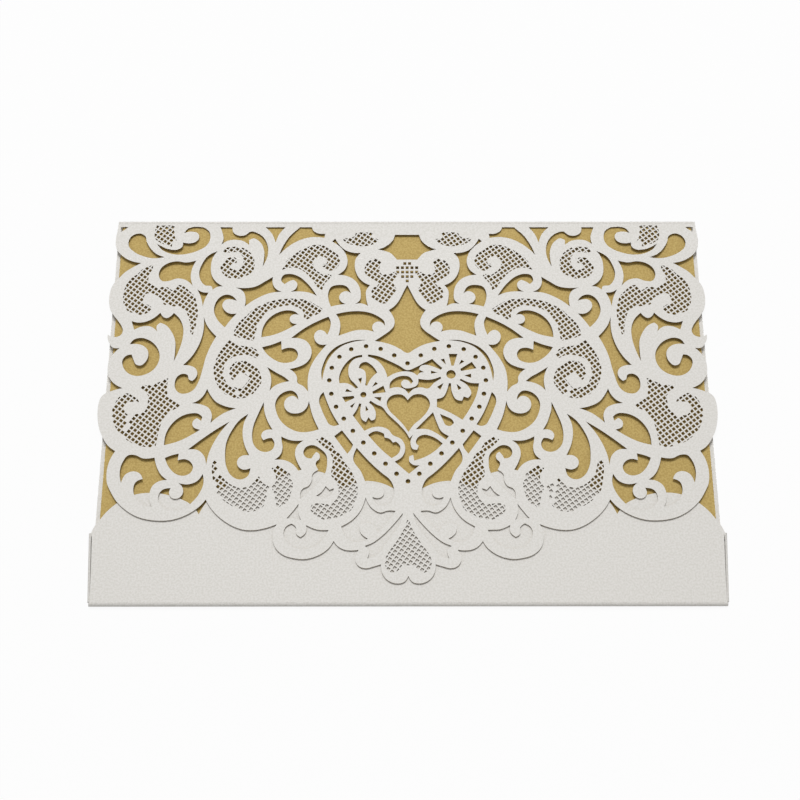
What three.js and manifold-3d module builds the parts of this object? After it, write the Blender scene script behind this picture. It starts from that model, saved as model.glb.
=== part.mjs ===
// A folded invitation card: a laser-cut cover in one piece and the plain card in its pocket.
// Millimetres. X runs across the card, Y towards the top fold, Z is up; the back lies on Z = 0.
import * as THREE from 'three';
import { mergeVertices } from 'three/addons/utils/BufferGeometryUtils.js';
import Module from 'manifold-3d';

const WIDTH = 185;              // back panel, side to side
const HEIGHT = 127;             // bottom fold to top fold
const DRAWN_HEIGHT = 127;       // height of the card that the flap's outlines are drawn for
const PAPER = 0.3;              // thickness of the cover's sheet
const TOP_FOLD_RADIUS = 1.2;    // outside radius of the top fold
const BOTTOM_FOLD_RADIUS = 0.9; // outside radius of the bottom fold
const SIDE_FOLD_RADIUS = 0.75;  // outside radius of the pocket's side folds
const FOLD_STEPS = 6;           // facets round each fold
const POCKET_SIDE_LOW = 92.15;  // where the side fold begins, at its foot
const POCKET_SIDE_HIGH = 92.85; // and at its top
const SIDE_FOLD_FOOT = 1.2;     // height of the side fold's foot
const SIDE_FOLD_TOP = 19.8;     // and of its top
const TAB_REACH = 8;            // how far the glue tab reaches inwards
const INSERT_SIDE_GAP = 1.35;   // from the insert's side to the back panel's side
const INSERT_TOP_GAP = 2.2;     // from the insert's top edge to the top fold
const INSERT_FOOT = 1.8;        // height of the insert's bottom edge inside the pocket
const INSERT_THICKNESS = 0.3;
const INSERT_HEIGHT = 0.9;      // underside of the insert above the table
const RIM_HOLE_RADIUS = 0.64;
const RIM_HOLE_SIDES = 8;
const LATTICE_ANGLE = 35;       // degrees, slant of the lattice rows
const LATTICE_PITCH = 3;
const LATTICE_GAP = 1.8;        // side of one square gap
const LATTICE_EDGE = 0.15;      // least paper between a gap and the outline of its field

// Every outline is a list of x, y pairs in millimetres: x is the distance from the centre line,
// y the height above the bottom fold.
const FLAP_HALF = [
  92.5, 125.8, 92.6, 123.5, 92.9, 119.7, 92.4, 116.6, 91.3, 114.9, 89.4, 113.2, 87.0, 112.0, 84.2, 111.4,
  86.7, 109.9, 88.9, 108.3, 91.1, 105.7, 92.7, 103.5, 93.4, 100.5, 93.4, 97.5, 92.9, 95.2, 91.4, 92.7,
  90.0, 90.9, 88.9, 89.2, 88.4, 87.8, 88.6, 86.7, 89.5, 85.8, 91.2, 85.5, 93.0, 86.3, 92.9, 84.8,
  92.2, 83.3, 91.3, 82.0, 89.0, 81.7, 90.1, 80.6, 91.1, 79.3, 91.9, 77.6, 92.2, 75.0, 91.9, 72.8,
  91.1, 71.2, 89.9, 69.8, 88.6, 68.9, 87.1, 68.2, 88.9, 67.8, 90.8, 67.1, 92.4, 66.4, 93.5, 65.2,
  94.1, 63.0, 94.2, 60.4, 93.9, 57.4, 93.1, 54.3, 91.9, 51.8, 90.0, 49.1, 87.9, 47.6, 89.0, 45.6,
  89.8, 42.9, 90.0, 40.0, 89.5, 36.9, 88.5, 34.9, 86.4, 31.6, 84.6, 29.8, 82.2, 28.0, 79.6, 26.7,
  76.6, 25.9, 73.4, 25.6, 70.2, 25.8, 66.8, 26.8, 63.4, 28.7, 61.4, 30.4, 60.0, 32.2, 59.0, 30.4,
  57.1, 28.0, 54.4, 25.6, 51.4, 23.8, 48.4, 22.8, 45.2, 22.7, 42.0, 23.3, 38.7, 24.5, 39.7, 22.4,
  39.7, 19.6, 38.8, 17.1, 36.6, 15.1, 33.6, 14.1, 30.3, 13.8, 27.3, 14.5, 24.7, 15.9, 22.9, 17.6,
  21.9, 19.3, 20.6, 17.7, 18.8, 16.7, 16.8, 16.4, 14.5, 16.6, 15.3, 14.9, 15.3, 12.9, 14.2, 11.5,
  12.3, 11.0, 10.2, 11.5, 8.0, 12.2, 7.8, 10.2, 6.9, 8.3, 5.2, 6.9, 3.2, 6.4, 1.2, 6.9, 0.0, 8.7,
];
const CENTRE_HALVES = [
  [0.0, 121.6, 3.9, 121.6, 4.4, 119.9, 5.6, 118.3, 7.2, 117.1, 9.3, 116.3, 7.1, 115.7, 5.2, 114.9,
    4.1, 113.7, 3.2, 112.6, 0.0, 112.6],
  [0.0, 103.6, 1.1, 101.3, 2.0, 99.3, 3.1, 97.3, 4.3, 95.9, 5.8, 94.8, 4.7, 93.1, 4.0, 91.0, 4.2, 89.3,
    5.4, 87.7, 7.4, 86.1, 10.2, 84.1, 7.5, 83.6, 4.5, 82.6, 2.2, 81.3, 0.0, 80.0],
];
const PAIRS = [
  [22.9, 120.2, 21.3, 117.6, 19.4, 115.9, 17.1, 115.1, 14.7, 115.0, 16.2, 113.1, 16.6, 110.8, 16.2, 108.2,
    14.9, 105.7, 13.2, 104.2, 11.7, 103.5, 12.8, 101.9, 12.9, 99.0, 12.3, 96.2, 14.3, 97.1, 16.4, 96.9,
    14.9, 98.2, 14.6, 100.4, 15.1, 103.0, 16.6, 105.3, 18.9, 106.7, 21.9, 107.2, 19.8, 109.0, 18.9, 111.7,
    19.4, 114.4, 21.3, 117.2, 23.9, 119.2],
  [23.9, 96.0, 24.7, 98.4, 24.8, 100.9, 23.9, 102.9, 21.7, 103.6, 19.3, 103.2, 17.7, 100.7, 19.1, 101.4,
    20.8, 100.7, 21.4, 99.2, 20.7, 97.7, 19.2, 96.9, 22.0, 96.5],
  [40.7, 114.3, 39.3, 117.9, 37.3, 121.3, 34.6, 124.1, 33.6, 125.2, 30.6, 125.2, 30.2, 123.5, 28.6, 122.2,
    26.1, 122.0, 26.4, 120.5, 29.8, 120.8, 33.4, 120.0, 36.8, 118.1, 39.4, 115.8],
  [46.2, 125.3, 43.4, 122.3, 41.9, 118.8, 40.9, 121.7, 38.3, 125.3],
  [60.1, 125.1, 59.1, 122.6, 58.6, 120.2, 59.1, 118.1, 57.0, 119.5, 54.8, 119.8, 52.2, 119.3, 50.3, 117.9,
    50.4, 119.6, 49.1, 120.3, 47.0, 119.1, 45.5, 116.0, 45.4, 112.8, 45.8, 110.1, 44.4, 113.5, 44.3, 117.3,
    45.7, 120.5, 47.7, 122.2, 50.0, 122.8, 51.7, 121.5, 54.0, 121.4, 55.6, 122.6, 56.0, 125.1],
  [60.2, 115.7, 61.5, 113.6, 62.1, 110.2, 61.7, 107.1, 60.2, 104.7, 57.9, 103.1, 59.8, 102.9, 61.2, 101.9,
    61.5, 103.0, 63.7, 103.5, 65.1, 105.2, 65.7, 107.9, 64.9, 111.1, 63.4, 113.7],
  [54.0, 102.7, 51.0, 102.5, 47.6, 103.1, 44.7, 104.9, 42.3, 106.5, 42.4, 104.3, 41.3, 102.2, 39.4, 101.2,
    42.9, 100.8, 46.4, 99.3, 48.9, 97.7, 50.9, 96.0, 50.7, 98.6, 51.5, 101.2],
  [38.6, 103.9, 39.7, 105.2, 39.1, 107.0, 36.9, 107.5, 34.4, 106.7, 31.6, 104.3, 28.4, 99.8, 30.6, 100.8,
    33.7, 101.3, 36.7, 101.2, 34.9, 102.5, 34.7, 104.3, 35.9, 105.4, 37.2, 104.9],
  [53.4, 98.0, 54.9, 99.7, 56.8, 100.2, 58.7, 99.3, 60.1, 97.1, 60.4, 94.4, 59.4, 91.8, 56.8, 88.8,
    55.3, 91.1, 53.3, 93.6, 55.5, 93.6, 57.2, 94.8, 57.9, 96.7, 56.8, 98.4, 55.0, 98.5],
  [66.0, 102.0, 64.4, 101.1, 62.4, 100.9, 63.4, 98.7, 64.0, 96.1, 64.8, 99.5],
  [91.8, 125.0, 89.3, 124.4, 91.4, 122.6],
  [85.9, 122.1, 87.6, 121.4, 88.7, 119.7, 88.5, 117.3, 86.7, 115.4, 83.6, 113.8, 80.2, 113.1, 76.9, 113.5,
    79.5, 114.6, 81.7, 116.8, 83.0, 119.1, 83.6, 121.1],
  [79.7, 118.4, 78.1, 116.3, 75.6, 114.9, 72.6, 114.4, 69.4, 114.8, 66.2, 116.0, 63.7, 117.9, 62.8, 120.3,
    63.3, 122.8, 65.3, 124.4, 67.9, 124.8, 70.0, 124.0, 71.2, 122.3, 68.8, 122.8, 66.8, 122.1, 66.4, 120.5,
    67.5, 119.0, 69.4, 118.5, 71.4, 118.8, 71.6, 117.2, 73.2, 116.2, 75.4, 116.3],
  [66.8, 112.3, 69.9, 111.6, 73.0, 112.0, 75.6, 111.4, 77.9, 109.4, 78.4, 107.1, 77.2, 105.0, 75.2, 105.0,
    72.5, 105.9, 69.9, 105.4, 67.5, 103.3, 68.3, 106.4, 68.0, 109.4],
  [22.3, 93.4, 18.6, 94.2, 15.0, 94.4, 11.9, 93.9, 9.0, 92.5, 7.2, 90.8, 7.0, 89.2, 8.0, 90.5, 9.6, 90.7,
    10.8, 89.6, 10.9, 88.3, 10.4, 87.3, 13.0, 87.9, 16.4, 87.7, 19.3, 86.7, 21.4, 85.9, 21.0, 87.9,
    20.9, 90.0, 21.4, 91.9],
  [24.6, 92.5, 27.0, 91.4, 31.4, 88.9, 36.1, 85.1, 33.4, 85.0, 31.4, 84.1, 30.1, 82.4, 29.6, 80.2,
    30.0, 78.4, 31.4, 76.5, 33.4, 75.4, 36.3, 74.6, 34.7, 73.3, 33.9, 71.8, 33.8, 70.1, 32.0, 68.9,
    30.4, 67.0, 30.6, 71.0, 30.1, 74.5, 28.6, 77.9, 26.6, 80.9, 25.0, 82.9, 27.5, 83.1, 28.8, 84.7,
    28.8, 86.6, 27.3, 87.9, 25.8, 87.4, 24.9, 86.2, 24.0, 88.8, 23.9, 90.8],
  [12.5, 84.4, 16.0, 84.4, 19.3, 83.5, 22.2, 82.0, 24.4, 79.7, 25.8, 76.7, 26.5, 73.6, 26.2, 70.6,
    25.6, 74.2, 24.6, 77.3, 22.9, 80.0, 20.4, 82.3, 17.1, 83.7],
  [25.7, 66.9, 26.7, 65.6, 27.0, 63.9, 26.2, 61.2, 24.8, 58.0, 23.7, 56.2, 22.4, 55.7, 20.8, 56.2,
    22.7, 59.4, 24.4, 63.2],
  [19.9, 54.3, 16.5, 49.7, 17.1, 48.2, 18.2, 46.7, 22.2, 52.4],
  [15.4, 48.6, 12.2, 44.9, 9.8, 42.4, 7.5, 40.3, 5.5, 38.6, 4.5, 36.8, 4.1, 34.6, 4.4, 32.4, 5.6, 30.8,
    7.5, 30.2, 9.4, 30.9, 10.6, 33.0, 9.0, 32.6, 7.5, 33.3, 7.2, 35.0, 8.2, 36.6, 10.2, 37.2, 12.5, 37.1,
    14.0, 40.9, 16.4, 45.0],
  [24.6, 40.9, 24.2, 43.9, 24.5, 46.3, 26.3, 48.3, 28.8, 49.5, 30.7, 48.8, 31.4, 47.1, 30.6, 45.6,
    28.9, 45.2, 28.2, 46.5, 27.5, 47.3, 26.6, 46.6, 26.6, 45.0, 27.5, 44.1, 26.8, 41.6, 28.6, 40.0,
    28.7, 38.2, 29.6, 36.5, 31.4, 35.5, 32.0, 32.3, 29.6, 34.5, 26.8, 37.4],
  [33.3, 64.3, 33.8, 66.1, 35.2, 67.3, 37.2, 67.1, 39.3, 65.6, 40.3, 63.3, 39.9, 60.3, 38.5, 57.4,
    36.0, 55.1, 33.0, 53.8, 30.0, 53.8, 26.9, 54.6, 28.8, 58.9, 30.1, 64.0, 30.6, 62.0, 32.0, 60.4,
    34.0, 59.8, 36.0, 60.2, 37.3, 61.5, 37.6, 63.3, 36.7, 65.0, 35.0, 65.6],
  [45.3, 85.4, 45.0, 88.4, 44.1, 90.6, 42.2, 92.8, 39.8, 94.2, 37.2, 94.7, 34.9, 94.1, 33.9, 93.1,
    35.4, 93.3, 36.5, 92.5, 36.6, 91.1, 35.7, 90.2, 34.3, 90.0, 37.6, 88.0, 41.3, 86.3],
  [45.0, 82.0, 42.2, 82.8, 39.1, 84.1, 38.9, 81.1, 36.7, 81.8, 34.7, 81.3, 33.8, 79.6, 34.4, 77.8,
    36.4, 76.8, 39.0, 76.8, 41.6, 78.1, 43.5, 79.8],
  [43.2, 75.3, 40.0, 73.2, 37.8, 71.9, 36.2, 70.5, 39.1, 69.8, 41.0, 68.7, 42.2, 67.3, 41.8, 71.0,
    42.3, 73.4],
  [63.5, 92.5, 62.3, 89.4, 61.1, 87.7, 59.3, 85.7, 60.9, 82.4, 62.2, 78.6, 63.0, 74.6, 64.1, 70.2,
    65.5, 67.6, 67.4, 66.5, 69.5, 66.5, 70.9, 67.8, 71.3, 70.0, 70.6, 72.1, 69.0, 73.0, 67.5, 72.6,
    67.0, 71.1, 66.0, 70.6, 64.9, 71.8, 64.6, 73.6, 65.3, 74.9, 66.8, 75.7, 69.1, 75.9, 66.4, 79.1,
    64.7, 82.4, 63.6, 86.2, 63.3, 89.6],
  [61.3, 68.0, 60.3, 66.1, 58.4, 63.7, 55.5, 62.2, 52.2, 61.5, 55.9, 59.9, 59.8, 56.7, 59.6, 60.0,
    60.6, 61.7, 62.6, 62.7, 65.7, 63.2, 63.7, 64.2, 62.2, 65.9],
  [85.9, 91.0, 84.2, 90.5, 81.4, 90.8, 79.1, 92.0, 77.1, 93.9, 76.3, 92.6, 75.0, 92.0, 73.9, 92.6,
    72.9, 93.8, 70.9, 91.7, 69.7, 88.6, 69.7, 85.0, 70.6, 81.0, 72.0, 77.2, 71.8, 80.9, 72.0, 84.3,
    73.2, 87.2, 75.2, 89.6, 76.9, 90.4, 77.9, 89.5, 77.7, 87.4, 79.9, 89.1, 82.5, 89.1, 84.9, 88.0],
  [85.9, 83.0, 84.9, 84.5, 82.6, 85.2, 80.2, 84.5, 77.9, 82.6, 76.6, 80.0, 76.6, 77.3, 78.1, 74.4,
    80.5, 72.8, 83.4, 72.3, 85.9, 73.3, 87.5, 75.4, 87.8, 77.7, 86.6, 79.2, 85.1, 79.5, 84.4, 77.7,
    83.6, 76.2, 82.2, 75.8, 80.8, 76.9, 80.0, 79.0, 80.3, 81.0, 81.6, 82.4, 83.7, 83.1],
  [73.4, 49.5, 73.0, 53.3, 71.5, 56.3, 69.0, 58.7, 66.2, 59.8, 63.5, 59.7, 62.3, 58.7, 62.6, 57.4,
    63.9, 58.3, 65.1, 57.2, 65.1, 55.8, 62.8, 54.5, 65.5, 52.7, 69.3, 50.7],
  [53.9, 57.2, 57.9, 54.6, 62.0, 51.5, 66.1, 48.1, 63.2, 47.9, 61.5, 46.5, 60.4, 43.1, 59.9, 46.3,
    58.6, 50.0, 56.6, 53.7],
  [48.3, 59.7, 50.7, 57.9, 53.0, 54.6, 54.6, 50.6, 54.9, 46.4, 54.3, 42.5, 52.7, 39.7, 50.4, 38.5,
    48.2, 39.2, 47.1, 42.1, 49.4, 41.7, 50.9, 42.8, 51.1, 44.7, 49.9, 46.0, 47.6, 46.2, 49.3, 50.0,
    49.9, 53.8, 49.5, 57.0],
  [43.8, 63.6, 45.3, 59.9, 46.7, 55.8, 47.0, 52.4, 46.3, 49.5, 44.5, 47.7, 42.5, 47.3, 40.7, 48.2,
    40.2, 50.3, 41.0, 51.8, 42.2, 51.7, 43.5, 51.1, 44.2, 52.3, 43.7, 53.9, 42.5, 54.5, 40.9, 54.5,
    42.4, 57.2, 43.5, 60.4],
  [38.2, 52.3, 35.4, 51.1, 31.4, 51.0, 33.3, 49.3, 33.9, 46.8, 33.2, 44.2, 31.8, 41.6, 32.8, 41.3,
    34.4, 43.3, 36.8, 44.6, 40.0, 44.8, 38.3, 46.4, 37.7, 48.9, 38.0, 50.7],
  [61.3, 40.3, 60.9, 37.6, 61.8, 34.5, 63.7, 31.7, 66.2, 29.5, 69.2, 28.8, 72.2, 29.5, 73.9, 31.4,
    74.1, 33.4, 73.2, 35.1, 70.6, 35.8, 71.0, 34.1, 69.9, 32.6, 68.2, 32.6, 67.0, 33.9, 67.1, 36.0,
    68.4, 37.4, 65.4, 37.0, 62.9, 38.0],
  [85.5, 37.4, 86.1, 40.7, 85.4, 44.2, 83.8, 46.3, 81.8, 46.3, 79.6, 45.3, 76.0, 45.5, 75.0, 42.2,
    73.8, 40.1, 71.8, 38.4, 74.1, 38.0, 75.9, 36.7, 76.7, 34.8, 76.7, 32.2, 75.9, 29.9, 78.6, 30.6,
    80.6, 32.4, 81.7, 35.3, 81.1, 37.7, 79.1, 38.7, 80.2, 40.5, 82.2, 41.1, 84.0, 40.4],
  [72.9, 45.4, 71.0, 46.2, 68.8, 46.8, 69.0, 44.6, 66.9, 45.0, 65.1, 44.1, 64.3, 42.4, 65.0, 40.6,
    67.0, 39.7, 69.2, 40.2, 71.2, 42.0],
  [24.5, 36.4, 26.0, 34.3, 27.3, 33.4, 25.4, 32.9, 23.5, 33.2, 22.0, 35.7, 23.4, 35.2],
  [32.4, 30.9, 33.8, 28.9, 35.9, 26.3, 33.9, 26.3, 31.6, 25.8, 32.5, 28.3],
  [33.0, 23.5, 34.4, 24.7, 36.0, 23.7, 36.6, 21.0, 35.5, 18.8, 33.4, 17.3, 30.6, 16.8, 27.6, 17.6,
    25.2, 19.6, 23.4, 22.7, 26.6, 22.8, 30.1, 24.2, 30.1, 22.0, 31.6, 20.5, 32.9, 21.5],
  [12.6, 32.8, 14.0, 28.9, 16.3, 26.0, 19.7, 23.8, 19.0, 21.5, 17.4, 19.6, 15.0, 18.9, 11.8, 20.0,
    14.0, 21.9, 14.3, 24.3, 12.6, 24.9, 10.4, 24.2, 9.0, 22.0, 5.8, 25.5, 3.7, 28.6, 6.0, 28.7,
    8.2, 28.1, 10.6, 29.4],
  [1.5, 28.0, 4.6, 24.1, 7.9, 20.7, 10.4, 18.8, 12.8, 17.8, 11.6, 16.6, 12.0, 14.0, 10.3, 14.4,
    8.6, 15.5, 6.9, 18.1, 4.5, 21.3, 2.4, 24.6],
];
// Openings inside the heart, where the two halves differ: x grows to the left.
const HEART_OPENINGS = [
  [14.0, 79.4, 16.6, 78.7, 18.8, 76.8, 20.3, 74.3, 21.0, 71.9, 20.9, 69.8, 18.6, 69.8, 17.0, 69.0,
    15.9, 68.0, 15.1, 68.4, 16.3, 69.8, 17.6, 71.3, 18.2, 73.8, 17.8, 76.2, 16.4, 77.9, 14.0, 78.6],
  [12.2, 79.5, 9.3, 79.0, 5.8, 77.4, 2.6, 75.7, 0.0, 74.2, -2.4, 75.1, -4.9, 76.5, -7.6, 78.0,
    -8.9, 76.6, -10.7, 74.9, -10.2, 74.3, -7.6, 75.5, -5.5, 76.0, -4.0, 75.5, -3.5, 74.4, -5.1, 73.5,
    -3.6, 73.2, -3.0, 72.4, -1.8, 73.3, 0.5, 73.8, 3.8, 73.2, 6.2, 71.8, 6.7, 73.6, 7.9, 75.9,
    9.5, 77.6, 12.2, 78.8],
  [15.0, 74.9, 14.4, 76.4, 13.0, 77.0, 11.3, 76.1, 9.3, 73.4, 11.0, 71.7, 12.4, 69.0, 13.0, 69.1,
    12.8, 72.4, 13.2, 74.0],
  [15.2, 71.3, 14.0, 71.7, 14.3, 69.6], [9.8, 70.3, 9.1, 69.6, 10.9, 68.6],
  [7.4, 69.0, 6.7, 66.8, 10.6, 66.3, 10.8, 67.0], [18.6, 68.0, 19.1, 67.0, 16.9, 66.9],
  [20.0, 65.3, 16.5, 65.6, 16.2, 64.9, 19.0, 63.5], [10.3, 65.2, 8.0, 65.2, 8.3, 63.8],
  [17.6, 62.2, 16.0, 63.4, 16.9, 61.6], [12.8, 62.4, 11.9, 61.0, 12.8, 60.5],
  [5.5, 68.0, 5.4, 69.8, 4.0, 71.4, 1.4, 72.3, -0.6, 71.9, -1.7, 70.4, -1.0, 69.6, -0.2, 70.7,
    1.1, 71.0, 2.0, 69.8, 1.5, 68.6, -1.3, 68.3, -2.9, 69.2, -3.3, 71.3, -6.9, 71.0, -10.1, 72.0,
    -10.3, 71.4, -8.2, 70.0, -6.0, 68.0, -4.4, 68.4, -2.0, 68.0, -0.3, 66.3, 1.3, 68.0, 3.6, 68.5],
  [0.0, 64.2, 1.6, 65.9, 3.6, 66.1, 5.6, 65.1, 6.4, 63.0, 5.7, 61.0, 3.6, 58.6, 1.6, 56.4, -0.2, 53.7,
    -1.7, 56.0, -4.0, 58.1, -6.0, 60.6, -6.8, 63.0, -6.1, 64.9, -4.2, 66.1, -2.0, 66.0],
  [14.8, 63.1, 14.1, 63.0, 14.4, 60.1, 13.9, 57.9, 12.7, 57.0, 11.9, 58.6, 11.1, 57.5, 10.1, 57.8,
    9.7, 59.5, 10.4, 61.9, 11.8, 63.4, 11.3, 64.0, 9.4, 62.7, 7.9, 62.0, 6.2, 59.8, 2.6, 56.1,
    0.6, 53.7, -0.5, 51.7, -1.6, 52.9, -0.8, 50.0, -1.5, 48.2, -2.8, 48.0, -3.3, 49.3, -2.5, 50.1,
    -2.9, 51.8, -4.6, 52.8, -7.2, 52.3, -10.5, 50.0, -8.0, 47.5, -5.2, 45.7, -1.9, 44.5, -1.6, 46.3,
    -0.5, 45.9, -0.4, 44.3, -1.5, 43.2, -3.5, 43.0, -0.3, 40.3, 4.0, 44.2, 1.6, 45.9, 0.8, 48.7,
    1.8, 51.2, 4.7, 52.9, 5.8, 54.4, 8.0, 55.4, 10.4, 55.3, 13.1, 54.1, 16.7, 59.2, 15.3, 61.5],
  [12.0, 52.8, 9.9, 54.0, 7.2, 53.2, 7.0, 51.9, 5.7, 51.6, 4.5, 50.3, 3.6, 50.6, 2.3, 49.1, 2.5, 47.4,
    4.9, 45.3, 7.6, 47.7],
  [-12.7, 79.7, -15.4, 79.7, -14.2, 75.7, -13.5, 75.7], [-10.2, 77.8, -11.3, 78.1, -11.8, 76.1],
  [-16.6, 77.7, -17.5, 77.1, -15.8, 76.0], [-19.8, 77.0, -21.2, 74.8, -16.5, 73.9, -16.2, 74.6],
  [-19.5, 73.0, -19.5, 71.6, -17.4, 72.4], [-7.2, 74.0, -7.2, 73.0, -9.2, 73.4],
  [-11.0, 69.9, -9.0, 68.6, -10.0, 67.6], [-15.0, 69.6, -16.5, 68.2, -15.5, 67.5],
  [-12.6, 69.8, -13.3, 69.8, -13.6, 66.7, -15.0, 64.3, -16.6, 64.0, -17.1, 65.4, -18.4, 64.9,
    -19.4, 66.3, -18.6, 68.7, -15.9, 70.8, -16.3, 71.3, -19.1, 70.0, -21.9, 69.8, -20.9, 65.6,
    -18.9, 61.4, -16.6, 57.7, -12.8, 60.1, -8.9, 61.9, -8.9, 64.6, -10.6, 65.1, -12.1, 67.7],
  [-7.7, 60.2, -8.8, 56.9, -10.2, 53.9, -12.4, 52.4, -11.5, 51.2, -9.0, 53.1, -6.4, 54.5, -2.4, 54.6,
    -5.3, 57.7],
  [-9.8, 59.6, -11.6, 58.8, -13.5, 57.7, -14.0, 56.7, -12.8, 55.7, -11.5, 56.0, -10.7, 57.5],
];
const RIM_HOLES = [
  12.8, 82.3, 17.4, 81.3, 21.0, 78.7, 23.3, 75.0, 24.0, 70.8, 23.3, 66.3, 21.8, 62.0, 19.4, 58.1,
  16.6, 54.1, 13.4, 50.3, 10.1, 46.8, 6.7, 43.5, 3.4, 40.3, 8.3, 81.4, 4.1, 79.2,
];
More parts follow.
